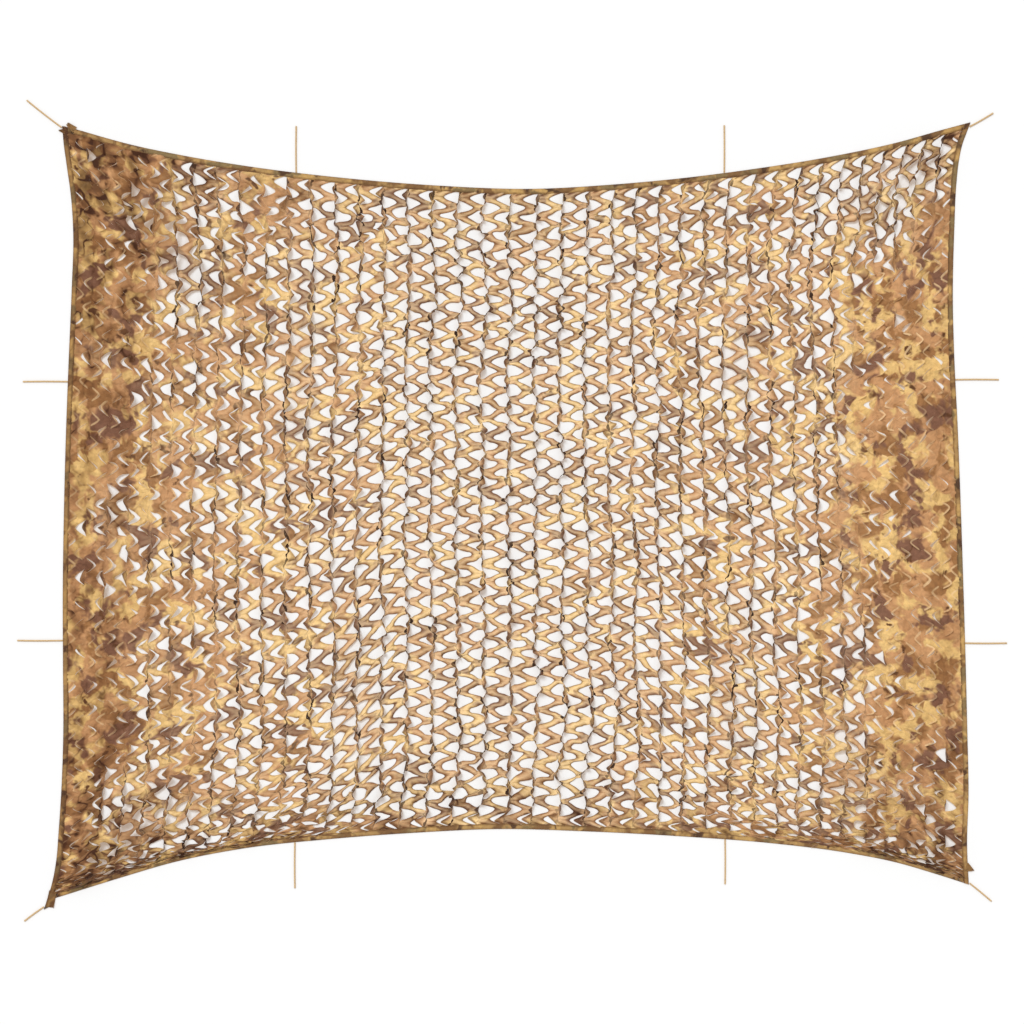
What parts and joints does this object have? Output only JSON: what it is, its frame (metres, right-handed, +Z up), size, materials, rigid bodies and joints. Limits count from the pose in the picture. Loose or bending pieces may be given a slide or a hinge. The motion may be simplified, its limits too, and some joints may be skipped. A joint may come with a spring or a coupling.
{
  "type": "camouflage netting",
  "caption": "Spread rectangular camouflage net of slit fabric with drawn-in bound edges, tie cords at its corners and sides, and open triangular holes across its middle.",
  "frame": {"origin": "centre of the bound cloth's box, without the tie cords, on the surface that the net lies on", "axes": "+X along the net's longer side, +Y along its shorter side, +Z up from the surface through the cloth's thickness"},
  "size_m": [4.4135, 3.6662, 0.048],
  "materials": {
    "camouflage_cloth": "matt printed woven cloth in ochre, tan and brown blotches, cut through in columns of curved slits",
    "binding_cloth": "the same printed cloth, unslit, folded double over the edge and stitched",
    "tie_cord": "plain beige twisted cord with bare cut ends"
  },
  "bodies": {
    "root": {"binding_bottom": "binding_cloth", "binding_left": "binding_cloth", "binding_right": "binding_cloth", "binding_top": "binding_cloth", "net_panel": "camouflage_cloth", "tie_bottom_1": "tie_cord", "tie_bottom_2": "tie_cord", "tie_corner_bottom_left": "tie_cord", "tie_corner_bottom_right": "tie_cord", "tie_corner_top_left": "tie_cord", "tie_corner_top_right": "tie_cord", "tie_left_1": "tie_cord", "tie_left_2": "tie_cord", "tie_right_1": "tie_cord", "tie_right_2": "tie_cord", "tie_top_1": "tie_cord", "tie_top_2": "tie_cord"}
  },
  "joints": []
}
